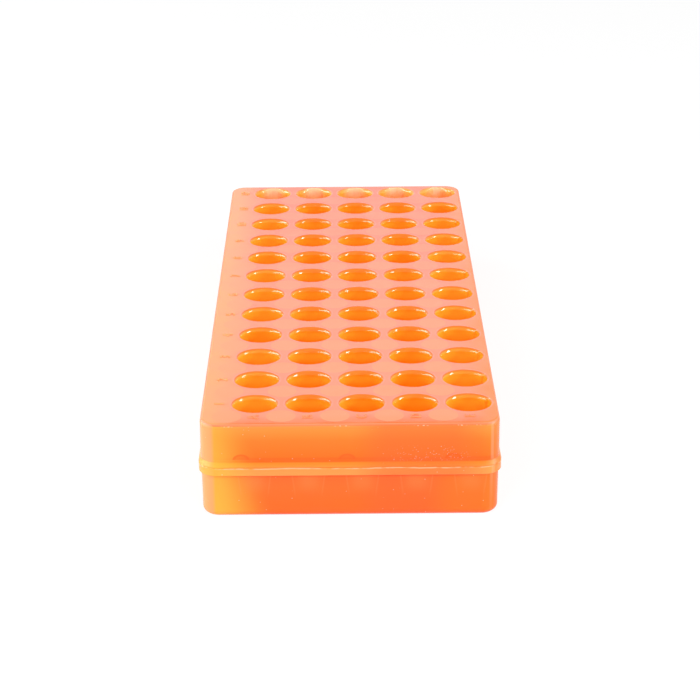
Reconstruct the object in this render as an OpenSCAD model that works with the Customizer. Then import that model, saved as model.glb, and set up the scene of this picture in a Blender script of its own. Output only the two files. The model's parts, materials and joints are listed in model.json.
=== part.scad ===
// Reversible rack for microcentrifuge tubes, moulded in two halves that snap together.
// The upper tray carries the large wells, sleeves that stop just above the bottom plate. The
// lower tray carries the small wells, sleeves that stop just under the deck and are used with
// the rack turned over.
// Origin: middle of the footprint, on the underside. X runs across, Y along, Z up.

/* [Rack] */
// Height of the closed rack
rack_h = 24.8; // [21:0.1:32]
// From the left side of the deck to the first column of large wells
margin_left = 13.15; // [12.8:0.05:20]
// From the last column of large wells to the right side of the deck
margin_right = 7.15; // [7:0.05:12]
// From the front of the deck to the first row of large wells
margin_front = 13.0; // [12.8:0.1:20]
// From the last row of large wells to the back of the deck
margin_back = 7.6; // [7:0.1:12]
// Radius of the upright corners, at the deck
corner_r = 4.4; // [3.5:0.1:6]
// Rounding where the deck meets the skirt
deck_edge_r = 0.85; // [0.4:0.05:1.1]
// Rounding where the bottom plate meets the skirt
bottom_edge_r = 1.8; // [1.3:0.1:2.4]

/* [Walls] */
// Thickness of the deck
deck_t = 1.2; // [0.8:0.1:1.6]
// Thickness of the bottom plate
bottom_t = 1.2; // [0.8:0.1:1.6]
// Thickness of both skirts
skirt_t = 1.2; // [0.8:0.1:1.6]
// How much wider the upper skirt is at its foot than at the deck, each side
upper_draft = 0.05; // [0:0.05:0.4]
// How much narrower the lower skirt is at its foot than at the flange, each side
lower_draft = 0.1; // [0:0.05:0.4]

/* [Large wells] */
// Columns of wells, across the rack
columns = 5; // [2:1:5]
// Rows of wells, along the rack
rows = 12; // [2:1:12]
// Spacing of the columns
column_pitch = 13.2; // [12.6:0.1:16]
// Spacing of the rows
row_pitch = 15.8; // [15:0.1:16]
// Outer diameter of the large tube that a well holds
large_tube_d = 10.8; // [10:0.1:11]
// Radial clearance around the large tube
large_tube_clearance = 0.2; // [0.1:0.05:0.4]
// Wall of a large well
large_wall = 0.5; // [0.4:0.05:0.7]
// Gap between the end of a large well and the bottom plate
large_end_gap = 1.0; // [0.5:0.1:3]
// Rounding of a large well's mouth
large_mouth_r = 0.35; // [0.2:0.05:0.5]

/* [Small wells] */
// Outer diameter of the small tube that a well holds
small_tube_d = 5.9; // [5.5:0.1:6.1]
// Radial clearance around the small tube
small_tube_clearance = 0.15; // [0.05:0.05:0.2]
// Wall of a small well
small_wall = 0.5; // [0.4:0.05:0.6]
// Gap between the end of a small well and the deck above it
small_end_gap = 0.1; // [0.05:0.05:0.3]
// Rounding of a small well's mouth
small_mouth_r = 0.35; // [0.2:0.05:0.5]

/* [Joint between the halves] */
// Height of the face where the halves meet
joint_z = 13.45; // [11:0.05:15]
// How far the rib stands out from the upper skirt
rib_out = 0.5; // [0.3:0.05:0.8]
// Height of the sloped upper half of the rib
rib_slope_h = 1.35; // [0.8:0.05:2.5]
// Height of the flat flange, the lower half of the rib
flange_h = 2.15; // [1.5:0.05:3]
// How far the lower skirt is set back from the upper skirt's foot
lower_setback = 0.15; // [0.05:0.05:0.4]
// Rounding of the rib's edges
rib_edge_r = 0.2; // [0.1:0.05:0.3]
// Height of the lip that stands inside the upper skirt
lip_h = 2.1; // [1.6:0.1:3]
// Thickness of the lip
lip_t = 1.0; // [0.6:0.1:1.2]
// Clearance between the lip and the upper skirt
lip_clearance = 0.05; // [0.03:0.01:0.15]
// Clearance between the lower tray and the large wells that pass through it
well_clearance = 0.15; // [0.1:0.05:0.25]
// Radius of the half-round snap lugs on the lip
lug_r = 2.0; // [1.6:0.1:2.5]
// How far a lug stands above the lip
lug_h = 1.6; // [0.8:0.1:1.6]
// Spacing of the lugs on the front
lug_pitch = 25.8; // [12:0.1:27]
// Shift of the front lugs from the middle, towards +X
lug_shift = -0.7; // [-2:0.1:2]
// Lugs on the front and on the back
lugs_x = 3; // [1:1:3]
// Lugs on each long side
lugs_y = 5; // [1:1:5]

/* [Hidden] */
// Each half tray is its plate, four walls, four corners and its wells, which meet face to face
$fn = 48;

plastic = [1.0, 0.57, 0.30];
arc_steps = 6;
// The rounding of the rib's lower edge turns this far past level before the slope begins, in degrees
rib_turn = 20;
// Cutters run this far past the faces that they cut through
past = 1;

rack_w = margin_left + (columns - 1) * column_pitch + margin_right;
rack_l = margin_front + (rows - 1) * row_pitch + margin_back;
// Axes of the upright corners
corner_x = rack_w / 2 - corner_r;
corner_y = rack_l / 2 - corner_r;
// Middle of the large wells, from the middle of the rack
wells_x = (margin_left - margin_right) / 2;
wells_y = (margin_front - margin_back) / 2;

large_r = large_tube_d / 2 + large_tube_clearance;
large_end_z = bottom_t + large_end_gap;
small_r = small_tube_d / 2 + small_tube_clearance;
deck_z = rack_h - deck_t;
small_end_z = deck_z - small_end_gap;

// Everything below is measured outward from the axis of an upright corner
upper_foot_x = corner_r + upper_draft;
rib_x = upper_foot_x + rib_out;
lower_top_x = upper_foot_x - lower_setback;
lower_foot_x = lower_top_x - lower_draft;
lip_x = upper_foot_x - skirt_t - lip_clearance;
flange_z = joint_z - flange_h;
lip_top_z = joint_z + lip_h;

// Slope of a skirt, in outward travel for each millimetre of height
upper_slope = upper_draft / (deck_z - joint_z);
lower_slope = lower_draft / flange_z;

function arc(x, z, r, from, to) =
    [for (i = [0:arc_steps]) let (a = from + (to - from) * i / arc_steps) [x + r * cos(a), z + r * sin(a)]];

deck_outline = concat(
    [[0, deck_z], [corner_r, deck_z]],
    arc(corner_r - deck_edge_r, rack_h - deck_edge_r, deck_edge_r, 0, 90),
    [[0, rack_h]]
);
upper_outline = concat(
    [[0, joint_z]],
    arc(rib_x - rib_edge_r, joint_z + rib_edge_r, rib_edge_r, -90, rib_turn),
    [[corner_r + upper_slope * (deck_z - joint_z - rib_slope_h), joint_z + rib_slope_h]],
    [[corner_r, deck_z], [0, deck_z]]
);
upper_hollow = [
    [0, joint_z - past],
    [upper_foot_x - skirt_t, joint_z - past],
    [upper_foot_x - skirt_t, joint_z + lip_h],
    [corner_r - skirt_t, deck_z],
    [corner_r - skirt_t, deck_z + past],
    [0, deck_z + past]
];

floor_outline = concat(
    [[0, 0]],
    arc(lower_foot_x - bottom_edge_r, bottom_edge_r, bottom_edge_r, -90, 0),
    [[0, bottom_edge_r]]
);
lower_outline = concat(
    [[0, bottom_edge_r], [lower_foot_x, bottom_edge_r], [lower_top_x, flange_z]],
    arc(rib_x - rib_edge_r, flange_z + rib_edge_r, rib_edge_r, -90, 0),
    arc(rib_x - rib_edge_r, joint_z - rib_edge_r, rib_edge_r, 0, 90),
    [[lip_x, joint_z], [lip_x, lip_top_z], [0, lip_top_z]]
);
lower_hollow = concat(
    [[0, bottom_t]],
    arc(lower_foot_x - bottom_edge_r, bottom_edge_r, bottom_edge_r - skirt_t, -90, 0),
    [
        [lower_top_x - skirt_t, joint_z - 2 * lip_t],
        [lip_x - lip_t, joint_z - lip_t],
        [lip_x - lip_t, lip_top_z + past],
        [0, lip_top_z + past]
    ]
);

// The upright section of a half tray, closed across the rack at a distance c from its middle
function across(outline, c) = concat(
    [for (p = outline) [c + p[0], p[1]]],
    [for (i = [len(outline) - 1:-1:0]) [-c - outline[i][0], outline[i][1]]]
);

// A block with upright rounded corners, whose edge all round has the given outline
module block(outline) {
    for (x = [-corner_x, corner_x], y = [-corner_y, corner_y])
        translate([x, y, 0]) rotate_extrude() polygon(outline);
    rotate([90, 0, 0]) linear_extrude(2 * corner_y, center = true) polygon(across(outline, corner_x));
    rotate([90, 0, 90]) linear_extrude(2 * corner_x, center = true) polygon(across(outline, corner_y));
}

// Everything beside the corners
module between_corners() {
    translate([-corner_x, -rack_l, -past]) cube([2 * corner_x, 2 * rack_l, rack_h + 2 * past]);
    translate([-rack_w, -corner_y, -past]) cube([2 * rack_w, 2 * corner_y, rack_h + 2 * past]);
}

module at_large_wells() {
    for (c = [0:columns - 1], r = [0:rows - 1])
        translate([
            wells_x + (c - (columns - 1) / 2) * column_pitch,
            wells_y + (r - (rows - 1) / 2) * row_pitch,
            0
        ]) children();
}

// The small wells lie half a pitch from the large ones, both ways
module at_small_wells() {
    translate([-column_pitch / 2, -row_pitch / 2, 0]) at_large_wells() children();
}

// Outside of a large well, grown by a clearance
module large_sleeve(grown = 0) {
    translate([0, 0, large_end_z - grown])
        cylinder(h = deck_z - large_end_z + grown, r = large_r + large_wall + grown);
}

// Inside of a large well
module large_bore() {
    translate([0, 0, large_end_z - past])
        cylinder(h = rack_h - large_end_z + 2 * past, r = large_r);
    translate([0, 0, rack_h]) mouth(large_r, large_mouth_r);
}

// Inside of a small well
module small_bore() {
    translate([0, 0, -past]) cylinder(h = small_end_z + 2 * past, r = small_r);
    mirror([0, 0, 1]) mouth(small_r, small_mouth_r);
}

// Cutter that rounds the rim of a round hole, in a face at z = 0
module mouth(hole_r, round_r) {
    rotate_extrude()
        polygon(concat(
            [[0, -round_r]],
            arc(hole_r + round_r, -round_r, round_r, 180, 90),
            [[hole_r + round_r, past], [0, past]]
        ));
}

// Half-round lugs along one straight stretch of the lip
module lugs(count, pitch, shift, face) {
    for (i = [0:count - 1])
        translate([shift + (i - (count - 1) / 2) * pitch, -face, lip_top_z + lug_h - lug_r])
            rotate([-90, 0, 0]) cylinder(h = lip_t, r = lug_r);
}

// The lugs of all four sides; all but the front ones stand midway between two large wells
module lip_lugs() {
    lip_face_x = corner_x + lip_x;
    lip_face_y = corner_y + lip_x;
    lugs(lugs_x, lug_pitch, lug_shift, lip_face_y);
    rotate([0, 0, 180]) lugs(lugs_x, 2 * column_pitch, column_pitch / 2 - wells_x, lip_face_y);
    rotate([0, 0, 90]) lugs(lugs_y, 2 * row_pitch, wells_y, lip_face_x);
    rotate([0, 0, -90]) lugs(lugs_y, 2 * row_pitch, -wells_y, lip_face_x);
}

module upper_skirt() {
    difference() {
        block(upper_outline);
        block(upper_hollow);
    }
}

module upper_deck() {
    color(plastic) difference() {
        block(deck_outline);
        at_large_wells() large_bore();
    }
}

module upper_walls() {
    color(plastic) intersection() {
        upper_skirt();
        between_corners();
    }
}

module upper_corners() {
    color(plastic) difference() {
        upper_skirt();
        between_corners();
    }
}

// Tubes that hang from the deck; those beside the skirt lean against it
module large_wells() {
    color(plastic) difference() {
        at_large_wells() large_sleeve();
        upper_skirt();
        at_large_wells() large_bore();
    }
}

// Skirt, flange and lip
module lower_skirt() {
    difference() {
        block(lower_outline);
        block(lower_hollow);
    }
}

// What the wells take away from the lower skirt
module lower_cuts() {
    at_small_wells() small_bore();
    at_large_wells() large_sleeve(well_clearance);
}

// The bottom plate with its rounded edge, before the wells are drilled
module floor_dish() {
    difference() {
        block(floor_outline);
        block(lower_hollow);
    }
}

module lower_floor() {
    color(plastic) difference() {
        floor_dish();
        at_small_wells() small_bore();
    }
}

module lower_walls() {
    color(plastic) difference() {
        union() {
            intersection() {
                lower_skirt();
                between_corners();
            }
            lip_lugs();
        }
        lower_cuts();
    }
}

module lower_corners() {
    color(plastic) difference() {
        lower_skirt();
        between_corners();
        lower_cuts();
    }
}

// Tubes that stand on the floor; those beside the skirt lean against its lip and its foot
module small_wells() {
    color(plastic) difference() {
        at_small_wells() translate([0, 0, bottom_t])
            cylinder(h = small_end_z - bottom_t, r = small_r + small_wall);
        floor_dish();
        lower_skirt();
        lip_lugs();
        at_small_wells() small_bore();
    }
}

upper_deck();
upper_walls();
upper_corners();
large_wells();
lower_floor();
lower_walls();
lower_corners();
small_wells();
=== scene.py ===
"""Looks of the translucent orange tube rack: its plastic, lettering, light and camera.

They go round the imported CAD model, whose shapes stay as they are.
"""

import json
import math

import bmesh
import bpy
from mathutils import Matrix, Vector


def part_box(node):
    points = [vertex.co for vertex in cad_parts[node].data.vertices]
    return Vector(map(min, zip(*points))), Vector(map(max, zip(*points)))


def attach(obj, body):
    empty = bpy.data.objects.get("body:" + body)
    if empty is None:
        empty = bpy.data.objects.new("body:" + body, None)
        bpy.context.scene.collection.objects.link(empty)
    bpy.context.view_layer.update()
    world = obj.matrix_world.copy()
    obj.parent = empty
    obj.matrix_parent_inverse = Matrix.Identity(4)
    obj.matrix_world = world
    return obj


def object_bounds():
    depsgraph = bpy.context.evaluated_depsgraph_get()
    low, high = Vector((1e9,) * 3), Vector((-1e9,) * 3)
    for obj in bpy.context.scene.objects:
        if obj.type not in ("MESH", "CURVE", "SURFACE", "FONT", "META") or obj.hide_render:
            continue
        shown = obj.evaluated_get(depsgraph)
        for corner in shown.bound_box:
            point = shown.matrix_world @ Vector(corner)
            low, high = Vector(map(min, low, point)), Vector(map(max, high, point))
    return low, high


MM = 0.001

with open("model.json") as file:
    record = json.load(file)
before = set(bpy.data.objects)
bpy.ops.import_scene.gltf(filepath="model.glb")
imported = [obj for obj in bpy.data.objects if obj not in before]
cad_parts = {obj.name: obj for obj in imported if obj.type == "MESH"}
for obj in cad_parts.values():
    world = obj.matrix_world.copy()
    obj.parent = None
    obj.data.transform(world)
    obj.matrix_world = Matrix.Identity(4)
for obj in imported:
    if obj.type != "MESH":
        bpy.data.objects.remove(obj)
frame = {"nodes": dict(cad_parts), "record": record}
cad_low, cad_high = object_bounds()

# ---------------------------------------------------------------- sizes in millimetres, from the frame

MOUNTS = {m["name"]: m for m in frame["record"]["mounts"]}
COLUMNS, ROWS = "abcde", range(1, 13)


def mount_xy(name):
    """Where a well's axis stands."""
    return tuple(v / MM for v in MOUNTS[name]["pos_m"][:2])


LARGE_FIRST, LARGE_LAST = mount_xy("large_well_a1"), mount_xy("large_well_e12")
SMALL_FIRST = mount_xy("small_well_a1")
LARGE_R = MOUNTS["large_well_a1"]["dims"]["r_mm"]
PITCH_X = (LARGE_LAST[0] - LARGE_FIRST[0]) / (len(COLUMNS) - 1)
PITCH_Y = (LARGE_LAST[1] - LARGE_FIRST[1]) / (len(ROWS) - 1)
MIDDLE_X = 0.5 * (LARGE_FIRST[0] + LARGE_LAST[0])
WEST, EAST = cad_low.x / MM, cad_high.x / MM
SOUTH, NORTH = cad_low.y / MM, cad_high.y / MM
# heights: the deck and its rounded edge, the joint of the two halves, and the rib that runs round it
DECK_Z = cad_high.z / MM
EDGE_Z = DECK_Z - 0.65
JOINT_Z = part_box("upper_walls")[0].z / MM
FLANGE_Z, SLOPE_Z = JOINT_Z - 2.15, JOINT_Z + 1.35
# the lip inside the upper skirt and its snap lugs are painted as shade this much higher than they stand
SINK = 0.3
LIP_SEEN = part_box("lower_corners")[1].z / MM + SINK
LUG_R, LUG_PITCH, LUG_SHIFT, LUGS = 2.0, 25.8, -0.7, 3

# ---------------------------------------------------------------- camera

CAMERA_AT = Vector((-2.45, -576.8, 232.4)) * MM
CAMERA_PITCH, CAMERA_YAW, CAMERA_ROLL = 21.451, -0.308, -0.331
CAMERA_LENS, CAMERA_SENSOR = 111.28, 36.0


def add_camera():
    """Low in front of the rack, looking along it."""
    data = bpy.data.cameras.new("camera")
    data.lens, data.sensor_width = CAMERA_LENS, CAMERA_SENSOR
    data.clip_start, data.clip_end = 0.01, 20.0
    camera = bpy.data.objects.new("camera", data)
    bpy.context.scene.collection.objects.link(camera)
    turn = (
        Matrix.Rotation(math.radians(CAMERA_YAW), 4, "Z")
        @ Matrix.Rotation(math.radians(90 - CAMERA_PITCH), 4, "X")
        @ Matrix.Rotation(math.radians(CAMERA_ROLL), 4, "Z")
    )
    camera.matrix_world = Matrix.Translation(CAMERA_AT) @ turn
    bpy.context.scene.camera = camera


# ---------------------------------------------------------------- node helpers


class Graph:
    """Short names for the shader nodes that the materials are made of."""

    def __init__(self, tree):
        self.tree = tree

    def put(self, socket, value):
        """Links another node's output to the socket, or writes a plain value on it."""
        if isinstance(value, bpy.types.NodeSocket):
            self.tree.links.new(value, socket)
        else:
            socket.default_value = value

    def math(self, operation, *values):
        """One of the Math node's operations."""
        node = self.tree.nodes.new("ShaderNodeMath")
        node.operation = operation
        for socket, value in zip(node.inputs, values):
            self.put(socket, value)
        return node.outputs[0]

    def both(self, first, *others):
        """The product: for masks, where every one of them is set."""
        for other in others:
            first = self.math("MULTIPLY", first, other)
        return first

    def either(self, first, *others):
        """Where any of the masks is set."""
        for other in others:
            first = self.math("MAXIMUM", first, other)
        return first

    def ramp(self, value, start, end):
        """0 at start and below, 1 at end and beyond, with a soft step between; start may lie above end."""
        node = self.tree.nodes.new("ShaderNodeMapRange")
        node.interpolation_type = "SMOOTHSTEP"
        self.put(node.inputs["Value"], value)
        flip = start > end
        node.inputs["From Min"].default_value = min(start, end)
        node.inputs["From Max"].default_value = max(start, end)
        node.inputs["To Min"].default_value = 1.0 if flip else 0.0
        node.inputs["To Max"].default_value = 0.0 if flip else 1.0
        return node.outputs["Result"]

    def window(self, value, low, high, soft):
        """1 between low and high, fading over soft on each side."""
        return self.both(self.ramp(value, low - soft, low), self.ramp(value, high + soft, high))

    def tint(self, colour, mask, over):
        """Lays one colour over another where the mask is set."""
        node = self.tree.nodes.new("ShaderNodeMix")
        node.data_type = "RGBA"
        self.put(node.inputs["Factor"], mask)
        self.put(next(s for s in node.inputs if s.name == "A" and s.type == "RGBA"), colour)
        self.put(next(s for s in node.inputs if s.name == "B" and s.type == "RGBA"), over)
        return next(s for s in node.outputs if s.type == "RGBA")

    def scale(self, value, stops):
        """A colour for each value, from (value, colour) stops in rising order between 0 and DECK_Z."""
        node = self.tree.nodes.new("ShaderNodeValToRGB")
        self.put(node.inputs["Fac"], self.math("DIVIDE", value, DECK_Z))
        band = node.color_ramp.elements
        while len(band) < len(stops):
            band.new(1.0)
        for element, (at, _) in zip(band, stops):
            element.position = at / DECK_Z
        for element, (_, colour) in zip(band, stops):
            element.color = colour
        return node.outputs["Color"]

    def noise(self, size, detail=2.0):
        """Smooth noise round 0.5, whose lumps are about size millimetres across."""
        node = self.tree.nodes.new("ShaderNodeTexNoise")
        node.inputs["Scale"].default_value = 1.0 / (size * MM)
        node.inputs["Detail"].default_value = detail
        self.tree.links.new(self.place, node.inputs["Vector"])
        return node.outputs["Fac"]

    def specks(self, spacing, radius, share):
        """Small round specks: about one to each cell of the spacing, of which a share is kept."""
        node = self.tree.nodes.new("ShaderNodeTexVoronoi")
        node.inputs["Scale"].default_value = 1.0 / (spacing * MM)
        self.tree.links.new(self.place, node.inputs["Vector"])
        split = self.tree.nodes.new("ShaderNodeSeparateColor")
        self.tree.links.new(node.outputs["Color"], split.inputs[0])
        dot = self.ramp(node.outputs["Distance"], radius / spacing, 0.4 * radius / spacing)
        return self.both(dot, self.math("LESS_THAN", split.outputs[0], share))

    def coordinates(self):
        """The object's own x, y and z in millimetres, and its normal."""
        source = self.tree.nodes.new("ShaderNodeTexCoord")
        self.place = source.outputs["Object"]
        split = self.tree.nodes.new("ShaderNodeSeparateXYZ")
        self.tree.links.new(self.place, split.inputs[0])
        turned = self.tree.nodes.new("ShaderNodeSeparateXYZ")
        self.tree.links.new(source.outputs["Normal"], turned.inputs[0])
        in_mm = [self.math("DIVIDE", s, MM) for s in split.outputs]
        return in_mm, list(turned.outputs)

    def off_grid(self, value, first, pitch, count):
        """How far value lies from the nearest of count lines."""
        step = self.math("ROUND", self.math("DIVIDE", self.math("SUBTRACT", value, first), pitch))
        step = self.math("MINIMUM", self.math("MAXIMUM", step, 0.0), count - 1.0)
        return self.math("SUBTRACT", self.math("SUBTRACT", value, first), self.math("MULTIPLY", step, pitch))

    def length(self, a, b):
        """The length of a step of a one way and b the other."""
        return self.math("SQRT", self.math("ADD", self.both(a, a), self.both(b, b)))

    def seen(self):
        """1 where the camera looks, straight, in a mirror or through glass; 0 for light on the rack."""
        path = self.tree.nodes.new("ShaderNodeLightPath")
        rays = [path.outputs[f"Is {kind} Ray"] for kind in ("Camera", "Glossy", "Transmission")]
        return self.either(*rays)


# ---------------------------------------------------------------- plastic


def orange(green, blue, red=1.0):
    """The plastic is full red nearly all over; what varies is how far it goes to yellow and to white."""
    return (red, green, blue, 1.0)


# the walls' colour by height: lower skirt, flange, joint, slope, the lip seen through the skirt as a band of
# painted shade, the upper skirt with painted light that grows towards the top, and the rounded edge, paler
# towards the deck as a painted sheen
WALL_TONES = [
    (0.0, orange(0.114, 0.006)),
    (4.5, orange(0.114, 0.006)),
    (8.0, orange(0.119, 0.010)),
    (FLANGE_Z - 0.05, orange(0.111, 0.011)),
    (FLANGE_Z + 0.05, orange(0.250, 0.050)),
    (JOINT_Z - 0.30, orange(0.250, 0.050)),
    (JOINT_Z + 0.05, orange(0.212, 0.028)),
    (SLOPE_Z - 0.25, orange(0.180, 0.008)),
    (SLOPE_Z + 0.10, orange(0.102, 0.000)),
    (LIP_SEEN - 0.05, orange(0.102, 0.000)),
    (LIP_SEEN + 0.25, orange(0.127, 0.001)),
    (20.5, orange(0.160, 0.009)),
    (23.2, orange(0.216, 0.024)),
    (EDGE_Z, orange(0.224, 0.040)),
    (EDGE_Z + 0.15, orange(0.172, 0.056)),
    (EDGE_Z + 0.35, orange(0.188, 0.074)),
    (EDGE_Z + 0.60, orange(0.270, 0.150)),
]
# bump: the height of the moulded surface's waves, and the flare of the wells' mouths, which is straight over
# FLARE_TOP and then eases off over FLARE_H
WAVE_H = 0.04
FLARE_TOP, FLARE_H, FLARE_SLOPE = 0.35, 1.1, 1.0
# strength and colour of the light that comes through the wells' walls
WELL_GLOW, GLOW_COLOUR = 0.6, orange(0.145, 0.008)
PLASTIC_IOR, PLASTIC_SPECULAR = 1.49, 0.35


class Places:
    """Where on the rack a point lies: its place in millimetres, and masks for the parts of the surface."""

    def __init__(self, graph):
        (self.x, self.y, self.z), (self.nx, self.ny, self.nz) = graph.coordinates()
        self.column_x = graph.off_grid(self.x, LARGE_FIRST[0], PITCH_X, len(COLUMNS))
        row_y = graph.off_grid(self.y, LARGE_FIRST[1], PITCH_Y, len(ROWS))
        # distance from the nearest axis of a large well, and of a small one
        self.large = graph.length(self.column_x, row_y)
        self.small = graph.length(
            graph.off_grid(self.x, SMALL_FIRST[0], PITCH_X, len(COLUMNS)),
            graph.off_grid(self.y, SMALL_FIRST[1], PITCH_Y, len(ROWS)),
        )
        self.upright = graph.ramp(graph.math("ABSOLUTE", self.nz), 0.75, 0.5)
        level = graph.ramp(self.nz, 0.75, 0.98)
        self.deck = graph.both(graph.ramp(self.z, DECK_Z - 0.4, DECK_Z - 0.05), level)
        self.raised = graph.ramp(self.z, DECK_Z + 0.02, DECK_Z + 0.06)
        self.inside = graph.ramp(self.large, LARGE_R + 0.25, LARGE_R + 0.1)
        self.outside = graph.math("SUBTRACT", 1.0, self.inside)
        self.within = graph.both(
            graph.window(self.x, WEST + 3.5, EAST - 3.5, 1.0),
            graph.window(self.y, SOUTH + 3.5, NORTH - 3.5, 1.0),
        )
        outer = graph.ramp(self.y, SOUTH + 3.0, SOUTH + 2.5)
        self.front = graph.both(self.upright, outer, graph.ramp(self.ny, -0.5, -0.9))
        # the rounded corners, which get painted light, and the stripe of painted reflection on each eastern
        # one
        ends = graph.ramp(graph.math("ABSOLUTE", self.y), NORTH - 5.0, NORTH - 4.0)
        self.corner_west = graph.both(self.upright, ends, graph.ramp(self.x, WEST + 4.3, WEST + 3.2))
        self.corner_east = graph.both(self.upright, ends, graph.ramp(self.nx, 0.54, 0.58))
        self.stripe = graph.both(self.upright, ends, graph.window(self.nx, 0.50, 0.60, 0.06))


def wall_colour(graph, at):
    """The skirts: by height, and lighter and yellower towards the empty margin at the left, as painted
    light.
    """
    colour = graph.scale(at.z, WALL_TONES)
    low = graph.both(at.front, graph.ramp(at.z, FLANGE_Z + 0.1, FLANGE_Z - 0.1))
    # redder on the upright faces over a band right of the middle, yellower towards the right at the foot
    red = graph.both(graph.window(at.x, 10.0, 24.0, 11.0), at.upright, 0.5)
    colour = graph.tint(colour, red, orange(0.095, 0.014))
    yellow = graph.both(graph.window(at.x, EAST - 11.0, EAST, 9.0), low, 0.6)
    colour = graph.tint(colour, yellow, orange(0.145, 0.004))
    # the left margin, where nothing stands behind the skirt: painted light that comes in from the left
    bend = graph.math("MULTIPLY_ADD", at.z, 0.25, at.x)
    margin = graph.ramp(bend, WEST + 19.0, WEST + 4.0)
    light = graph.both(margin, graph.ramp(at.z, EDGE_Z + 0.15, EDGE_Z))
    aside = graph.math("MULTIPLY_ADD", graph.ramp(at.nx, -0.8, -0.95), -0.5, 0.9)
    colour = graph.tint(colour, graph.both(light, aside), orange(0.385, 0.037))
    # painted light on the lower skirt in front of the large wells: a soft blob, and a tapering pair of lines
    column = graph.math("ABSOLUTE", at.column_x)
    blob = graph.both(graph.ramp(column, 4.5, 0.5), graph.ramp(at.z, 5.5, 9.5))
    colour = graph.tint(colour, graph.both(low, blob, 0.3), orange(0.210, 0.045))
    taper = graph.math("MULTIPLY_ADD", at.z, 0.13, 2.5)
    line = graph.window(graph.math("SUBTRACT", column, taper), -0.05, 0.05, 0.25)
    line = graph.both(line, low, graph.ramp(at.z, 4.5, 8.0))
    colour = graph.tint(colour, graph.both(line, 0.10), orange(0.330, 0.110))
    # painted shade of the snap lugs behind the skirt
    colour = graph.tint(colour, lug_mask(graph, at, light), orange(0.080, 0.000))
    # the joint: a painted highlight, a pale uneven line
    wander = graph.math("MULTIPLY_ADD", graph.noise(5.0), 0.5, JOINT_Z - 0.45)
    joint = graph.math("ABSOLUTE", graph.math("SUBTRACT", at.z, wander))
    joint = graph.both(graph.ramp(joint, 0.20, 0.08), graph.ramp(graph.noise(3.0), 0.38, 0.62))
    colour = graph.tint(colour, graph.both(joint, 0.62), orange(0.460, 0.280))
    # the upright corners: painted light on their rounding, and on each eastern one a stripe of painted
    # reflection
    high = graph.ramp(at.z, 2.0, JOINT_Z + 4.0)
    colour = graph.tint(colour, graph.both(at.corner_east, high, 0.6), orange(0.150, 0.026))
    plain = graph.math("SUBTRACT", 1.0, graph.window(at.z, JOINT_Z, SLOPE_Z, 0.3))
    stripe = graph.both(at.stripe, plain, graph.math("ADD", high, 0.3), 0.17)
    colour = graph.tint(colour, stripe, orange(0.400, 0.260))
    rib = graph.window(at.z, FLANGE_Z, SLOPE_Z, 0.1)
    share = graph.math("MULTIPLY_ADD", rib, -0.6, 0.85)
    return graph.tint(colour, graph.both(at.corner_west, share), orange(0.290, 0.118))


def lug_mask(graph, at, light):
    """Painted shade of the snap lugs, which show through the front as flat half-rounds, darkest at their
    edge.
    """
    lug_x = graph.off_grid(at.x, LUG_SHIFT - LUG_PITCH, LUG_PITCH, LUGS)
    lug_z = graph.math("SUBTRACT", at.z, LIP_SEEN - 0.3)
    far = graph.length(lug_x, graph.math("MULTIPLY", lug_z, 1.5))
    lug = graph.both(graph.ramp(far, LUG_R + 0.2, LUG_R - 0.1), at.front, graph.ramp(lug_z, -0.1, 0.1))
    lug = graph.both(lug, graph.math("MULTIPLY_ADD", light, -0.4, 1.0))
    return graph.both(lug, graph.math("MULTIPLY_ADD", graph.ramp(far, LUG_R - 0.9, LUG_R - 0.3), 0.4, 0.4))


def deck_colour(graph, at):
    """The deck, in painted light: pale discs over the small wells' closed ends, and a pale ring round each
    mouth.
    """
    # a pale base that is partly a painted sheen, with painted shade towards the back and along the front
    colour = graph.tint(orange(0.215, 0.105), graph.ramp(at.y, -60.0, NORTH), orange(0.155, 0.070))
    colour = graph.tint(colour, graph.ramp(at.y, SOUTH + 7.0, SOUTH + 1.0), orange(0.135, 0.008))
    # painted light at the left, painted shade at the right
    colour = graph.tint(colour, graph.ramp(at.x, WEST + 12.0, WEST + 2.0), orange(0.310, 0.090))
    colour = graph.tint(colour, graph.ramp(at.x, EAST - 9.0, EAST - 1.0), orange(0.200, 0.022))
    cloud = graph.ramp(graph.noise(9.0), 0.35, 0.75)
    colour = graph.tint(colour, graph.both(cloud, 0.35), orange(0.260, 0.125))
    # painted light: the discs, fading towards the back, and the rings round the mouths
    disc = graph.both(graph.ramp(at.small, 3.8, 3.4), graph.ramp(at.y, 1.8 * NORTH, SOUTH))
    colour = graph.tint(colour, graph.both(disc, 0.7), orange(0.270, 0.098))
    ring = graph.window(at.large, LARGE_R - 0.1, LARGE_R + 0.45, 0.25)
    return graph.tint(colour, graph.both(ring, 0.5), orange(0.270, 0.190))


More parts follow.
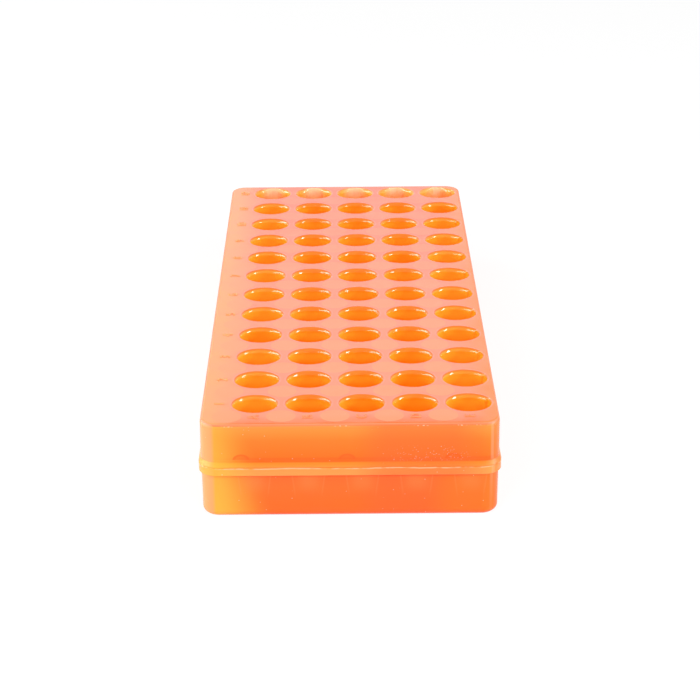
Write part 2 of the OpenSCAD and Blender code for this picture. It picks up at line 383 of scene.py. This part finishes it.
def well_colour(graph, at):
    """The wells: pure orange, with painted light and shade by depth and side, redder at the mouth, and pale
    where light comes in through the back wall.
    """
    # painted light and shade by depth: lighter at mid-depth than deep down, redder towards the mouth
    lower = graph.ramp(at.z, DECK_Z - 4.4, DECK_Z - 2.8)
    colour = graph.tint(orange(0.240, 0.007), lower, orange(0.325, 0.018))
    colour = graph.tint(colour, graph.ramp(at.z, DECK_Z - 2.2, DECK_Z - 0.8), orange(0.185, 0.005))
    # painted light in the outer columns
    off_middle = graph.math("ABSOLUTE", graph.math("SUBTRACT", at.x, MIDDLE_X))
    outer_columns = graph.ramp(off_middle, PITCH_X, 2.0 * PITCH_X)
    colour = graph.tint(colour, graph.both(outer_columns, 0.4), orange(0.370, 0.026))
    deeper = graph.both(graph.ramp(graph.noise(22.0, 1.0), 0.50, 0.70), 0.5)
    colour = graph.tint(colour, deeper, orange(0.215, 0.003))
    # painted light on each well's left side
    left = graph.ramp(at.column_x, -0.55 * LARGE_R, -LARGE_R)
    colour = graph.tint(colour, left, orange(0.345, 0.026))
    # painted shade, darkest on the mouth's rounding
    colour = graph.tint(colour, graph.ramp(at.z, DECK_Z - 0.55, DECK_Z - 0.35), orange(0.190, 0.010))
    # the last row, painted pale where light comes in through the back wall
    last = graph.ramp(at.y, LARGE_LAST[1] - LARGE_R - 1.0, LARGE_LAST[1] + 1.0)
    across = graph.ramp(graph.math("ABSOLUTE", at.column_x), 0.1 * LARGE_R, 0.8 * LARGE_R)
    high = graph.ramp(at.z, DECK_Z - 5.0, DECK_Z - 1.5)
    pale = graph.tint(orange(0.440, 0.110), high, orange(0.530, 0.300, red=0.93))
    pale = graph.tint(pale, across, orange(0.340, 0.040))
    veins = graph.ramp(graph.noise(2.5, 1.0), 0.45, 0.55)
    marbled = graph.both(veins, graph.ramp(at.x, 0.0, EAST), 0.7)
    pale = graph.tint(pale, marbled, orange(0.380, 0.090))
    return graph.tint(colour, last, pale)


def dust_mask(graph, at):
    """Dust on the front and, less, on the deck, with a cloud of it at the right, and pale specks on the
    deck's edge: burred spots with painted glints.
    """
    cloud = graph.both(
        graph.window(at.x, 16.0, 24.0, 9.0),
        graph.window(at.z, LIP_SEEN, LIP_SEEN + 2.0, 1.5),
    )
    dust = graph.either(graph.specks(1.3, 0.14, 0.3), graph.both(graph.specks(0.42, 0.11, 0.5), cloud))
    dust = graph.both(dust, graph.either(at.front, graph.both(at.deck, 0.3)))
    # pale specks along the edge: burred spots, painted as glints
    edge = graph.window(at.z, EDGE_Z, EDGE_Z + 0.1, 0.1)
    patches = graph.ramp(graph.noise(7.0), 0.48, 0.58)
    burrs = graph.both(graph.specks(0.6, 0.35, 0.8), at.front, edge, patches)
    return graph.both(graph.either(dust, burrs), 0.8)


def roughness(graph, at):
    """Glossy, but cloudy outside the wells, and dull on the rib's slope and the deck's side edges."""
    cloudy = graph.math("MULTIPLY_ADD", graph.both(graph.noise(3.0), at.outside), 0.10, 0.10)
    slope = graph.both(at.upright, graph.window(at.z, JOINT_Z, SLOPE_Z, 0.1))
    sideways = graph.ramp(graph.math("ABSOLUTE", at.nx), 0.15, 0.3)
    rounded = graph.both(sideways, graph.ramp(at.z, DECK_Z - 1.0, DECK_Z - 0.8), at.outside)
    return graph.math("ADD", cloudy, graph.both(graph.either(slope, rounded), 0.3))


def relief(graph, at):
    """Heights in metres for the bump: waves outside the wells, and walls that flare towards the mouths."""
    depth = graph.math("SUBTRACT", DECK_Z, at.z)
    straight = graph.math("MAXIMUM", graph.math("MINIMUM", depth, FLARE_TOP), 0.0)
    down = graph.math("MINIMUM", graph.math("SUBTRACT", depth, FLARE_TOP), FLARE_H)
    down = graph.math("MAXIMUM", down, 0.0)
    curve = graph.both(down, graph.math("SUBTRACT", 2.0 * FLARE_H, down), 0.5 / FLARE_H)
    flare = graph.both(at.within, graph.math("ADD", straight, curve), FLARE_SLOPE)
    waves = graph.both(graph.noise(5.0, 1.0), at.outside, WAVE_H)
    return graph.both(graph.math("ADD", waves, flare), MM)


def plastic_material():
    """The one material of the rack and its lettering."""
    material = bpy.data.materials.new("orange_polypropylene")
    material.use_nodes = True
    graph = Graph(material.node_tree)
    shader = material.node_tree.nodes["Principled BSDF"]
    at = Places(graph)

    colour = wall_colour(graph, at)
    colour = graph.tint(colour, at.deck, deck_colour(graph, at))
    colour = graph.tint(colour, at.inside, well_colour(graph, at))
    # the lettering: painted with less sheen than the deck, and with painted light towards the left
    left = graph.ramp(at.x, WEST + 12.0, WEST + 6.0)
    label = graph.tint(orange(0.195, 0.034), left, orange(0.290, 0.050))
    colour = graph.tint(colour, graph.both(at.raised, 0.8), label)
    colour = graph.tint(colour, dust_mask(graph, at), orange(0.560, 0.400))
    graph.put(shader.inputs["Base Color"], colour)

    graph.put(shader.inputs["Roughness"], roughness(graph, at))
    shader.inputs["IOR"].default_value = PLASTIC_IOR
    shader.inputs["Specular IOR Level"].default_value = PLASTIC_SPECULAR
    bump = material.node_tree.nodes.new("ShaderNodeBump")
    bump.inputs["Strength"].default_value = 1.0
    bump.inputs["Distance"].default_value = 1.0
    graph.put(bump.inputs["Height"], relief(graph, at))
    graph.put(shader.inputs["Normal"], bump.outputs[0])

    # light that comes through the walls keeps the deep ends of the wells orange
    deep = graph.both(at.within, at.inside, graph.ramp(at.z, DECK_Z - 2.5, DECK_Z - 12.0))
    graph.put(shader.inputs["Emission Strength"], graph.both(deep, WELL_GLOW))
    shader.inputs["Emission Color"].default_value = GLOW_COLOUR
    return material


# ---------------------------------------------------------------- lettering

LETTER_SIZE, LETTER_NARROW, LETTER_RISE = 3.9, 0.82, 0.2
LABEL_INSET = 5.1


def add_label(name, text, x, y, plastic):
    """Raised lettering on the deck, whose tops point to the left side."""
    curve = bpy.data.curves.new(name, "FONT")
    curve.body = text
    curve.align_x, curve.align_y = "CENTER", "CENTER"
    curve.size = LETTER_SIZE * MM
    curve.extrude = LETTER_RISE * MM
    curve.resolution_u = 6
    maker = bpy.data.objects.new(name, curve)
    bpy.context.scene.collection.objects.link(maker)
    bpy.context.view_layer.update()
    mesh = bpy.data.meshes.new_from_object(maker)
    bpy.data.objects.remove(maker)
    bpy.data.curves.remove(curve)
    place = Matrix.Translation(Vector((x, y, DECK_Z)) * MM) @ Matrix.Rotation(math.radians(90), 4, "Z")
    mesh.transform(place @ Matrix.Diagonal((LETTER_NARROW, 1.0, 1.0, 1.0)))
    work = bmesh.new()
    work.from_mesh(mesh)
    bmesh.ops.remove_doubles(work, verts=work.verts, dist=0.001 * MM)
    bmesh.ops.recalc_face_normals(work, faces=work.faces)
    work.to_mesh(mesh)
    work.free()
    label = bpy.data.objects.new(name, mesh)
    bpy.context.scene.collection.objects.link(label)
    mesh.materials.clear()
    mesh.materials.append(plastic)
    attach(label, "root")


def add_lettering(plastic):
    """Columns are lettered from the left, rows numbered from the front."""
    for column in COLUMNS:
        x = mount_xy(f"large_well_{column}1")[0]
        add_label(f"letter_{column}", column.upper(), x, SOUTH + LABEL_INSET, plastic)
    for row in ROWS:
        y = mount_xy(f"large_well_a{row}")[1]
        add_label(f"number_{row}", str(row), WEST + LABEL_INSET, y, plastic)


# ---------------------------------------------------------------- light and floor

# name, place and size in metres, watts, and use: a lamp that only lights the rack leaves no highlight in it,
# and one that is only mirrored adds no light to it
LAMPS = [
    ("front_left", (-0.35, -0.70, 0.50), (0.4, 0.4), 3.2, "lights"),
    ("front_right", (0.35, -0.70, 0.50), (0.4, 0.4), 2.4, "lights"),
    ("west_panel", (-0.80, 0.0, 0.22), (1.3, 0.22), 8.8, "lights"),
    ("west_glint", (-0.72, 0.0, 0.45), (1.3, 0.26), 12.5, "mirrored"),
    ("east_strip", (0.76, -0.25, 0.25), (0.18, 0.28), 5.4, "lights"),
    ("east_glint", (0.70, -0.23, 0.36), (0.22, 0.36), 7.5, "mirrored"),
    ("back_low", (0.0, 1.5, 0.45), (2.0, 0.5), 1.3, "both"),
]
# the world's strength as a light; seen, it is 1
WORLD_LIGHT = 0.4
# the floor's grey as a lit surface, and the glow that takes most of its place where it is seen
FLOOR_SIZE, FLOOR_GREY = 6.0, 0.65
FLOOR_GLOW, FLOOR_GLOW_SHARE = 1.145, 0.75


def add_world():
    """Dim to the plastic, white where it is seen."""
    world = bpy.data.worlds.new("studio")
    bpy.context.scene.world = world
    world.use_nodes = True
    graph = Graph(world.node_tree)
    back = world.node_tree.nodes["Background"]
    back.inputs["Color"].default_value = (1, 1, 1, 1)
    strength = graph.math("MULTIPLY_ADD", graph.seen(), 1.0 - WORLD_LIGHT, WORLD_LIGHT)
    graph.put(back.inputs["Strength"], strength)


def add_lamp(name, at, size, watts, use):
    """A soft box that faces the rack."""
    data = bpy.data.lights.new(name, "AREA")
    data.energy = watts
    data.shape = "RECTANGLE"
    data.size, data.size_y = size
    lamp = bpy.data.objects.new(name, data)
    bpy.context.scene.collection.objects.link(lamp)
    lamp.location = at
    lamp.visible_glossy = use != "lights"
    lamp.visible_diffuse = use != "mirrored"
    lamp.rotation_mode = "QUATERNION"
    lamp.rotation_quaternion = (-Vector(at)).to_track_quat("-Z", "Y")


def add_floor():
    """White where it is seen, but for the rack's faint shadow."""
    bpy.ops.mesh.primitive_plane_add(size=FLOOR_SIZE, location=(0, 0, 0))
    floor = bpy.context.object
    floor.name = "floor"
    material = bpy.data.materials.new("floor")
    material.use_nodes = True
    tree = material.node_tree
    tree.nodes.remove(tree.nodes["Principled BSDF"])
    graph = Graph(tree)
    diffuse = tree.nodes.new("ShaderNodeBsdfDiffuse")
    diffuse.inputs["Color"].default_value = (FLOOR_GREY, FLOOR_GREY, FLOOR_GREY, 1)
    glow = tree.nodes.new("ShaderNodeEmission")
    glow.inputs["Strength"].default_value = FLOOR_GLOW
    mix = tree.nodes.new("ShaderNodeMixShader")
    graph.put(mix.inputs["Fac"], graph.both(graph.seen(), FLOOR_GLOW_SHARE))
    graph.put(mix.inputs[1], diffuse.outputs[0])
    graph.put(mix.inputs[2], glow.outputs[0])
    graph.put(tree.nodes["Material Output"].inputs["Surface"], mix.outputs[0])
    floor.data.materials.append(material)


# ---------------------------------------------------------------- everything together

bpy.context.scene.view_settings.view_transform = "Standard"

add_camera()
add_world()
for lamp in LAMPS:
    add_lamp(*lamp)
add_floor()

plastic = plastic_material()
for node in frame["nodes"].values():
    node.data.materials.clear()
    node.data.materials.append(plastic)
add_lettering(plastic)
